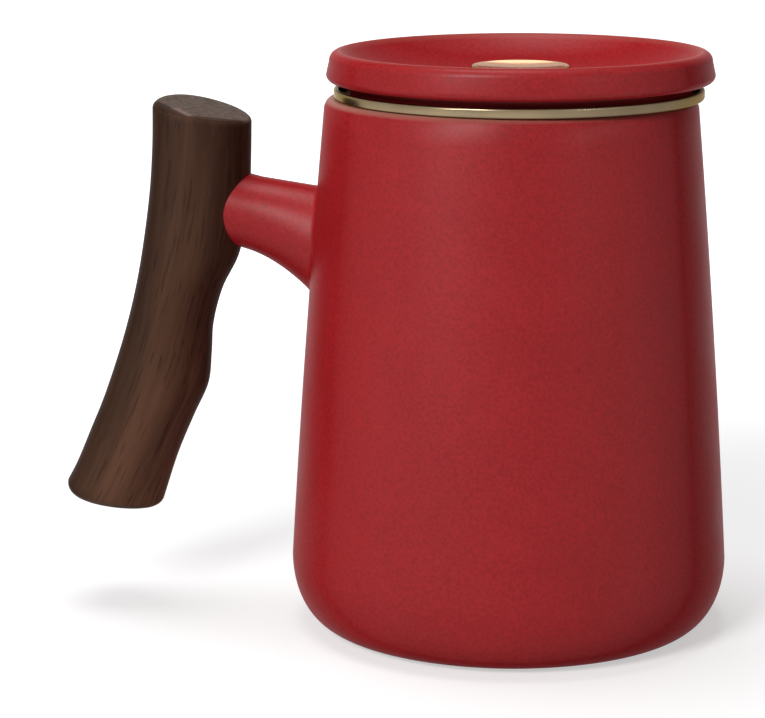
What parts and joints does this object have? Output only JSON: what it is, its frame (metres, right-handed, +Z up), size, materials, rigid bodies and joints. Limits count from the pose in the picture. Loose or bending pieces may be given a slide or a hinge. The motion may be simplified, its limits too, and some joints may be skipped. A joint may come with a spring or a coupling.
{
  "type": "lidded tea mug with infuser",
  "caption": "Tapered glazed mug with a side grip of wood on a clay stub, a perforated metal infuser that hangs in its mouth, and a dished lift-off lid with a low metal knob.",
  "frame": {"origin": "centre of the foot, on the mug's axis, in the plane that the mug stands on", "axes": "+Z up along the mug's axis, with the grip along -X"},
  "size_m": [0.1393, 0.09, 0.1187],
  "materials": {
    "red_glaze": "satin red glaze with a faint orange-peel surface",
    "walnut": "dark oiled walnut, grain along the grip",
    "gold_metal": "champagne-gold plated stainless steel, polished",
    "insert_brass": "machined",
    "fastener_steel": "plain stainless steel",
    "cement": "cured cement",
    "silicone": "matte silicone"
  },
  "bodies": {
    "mug": {"mug_body": "red_glaze", "grip": "walnut", "grip_insert": "insert_brass", "grip_stud": "fastener_steel", "stud_cement": "cement"},
    "infuser": {"infuser_rim": "gold_metal", "infuser_wall": "gold_metal", "infuser_floor": "gold_metal"},
    "lid": {"lid_dish": "red_glaze", "lid_knob": "gold_metal", "knob_gasket": "silicone", "knob_screw": "fastener_steel", "screw_washer": "silicone"}
  },
  "joints": [
    {"name": "infuser_lift", "type": "slide", "parent": "mug", "child": "infuser", "axis": [0, 0, 1], "range_m": [0, 0.095]},
    {"name": "lid_lift", "type": "slide", "parent": "infuser", "child": "lid", "axis": [0, 0, 1], "range_m": [0, 0.06]}
  ]
}
